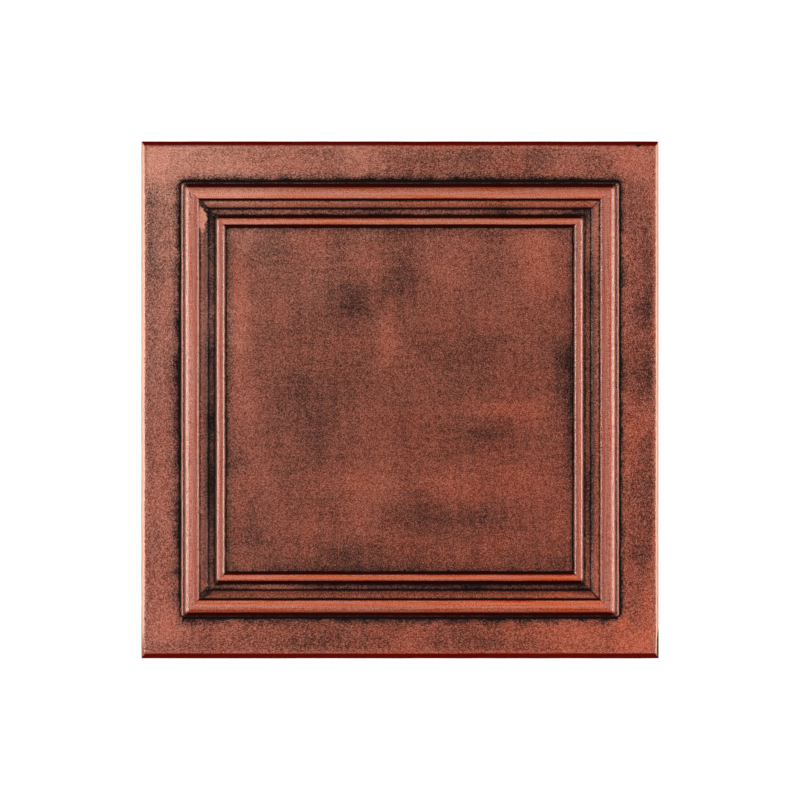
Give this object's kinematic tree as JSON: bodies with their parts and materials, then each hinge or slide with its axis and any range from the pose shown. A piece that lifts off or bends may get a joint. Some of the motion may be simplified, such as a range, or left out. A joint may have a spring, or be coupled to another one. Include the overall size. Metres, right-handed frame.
{
  "type": "foam ceiling tile",
  "caption": "Square pressed-foam ceiling tile to glue up, with a raised frame moulding, an inner bead and a flat centre panel, painted in an antiqued copper finish.",
  "frame": {"origin": "centre of the tile on its flat back", "axes": "+Z out of the decorated face, +X to the right and +Y up in the picture; the tile is square, so X and Y run along its sides"},
  "size_m": [0.4978, 0.4978, 0.0095],
  "materials": {
    "copper_paint": "hand-painted antiqued copper over black on rigid foam, satin; the back is bare white foam"
  },
  "bodies": {
    "root": {"ceiling_tile": "copper_paint"}
  },
  "joints": []
}
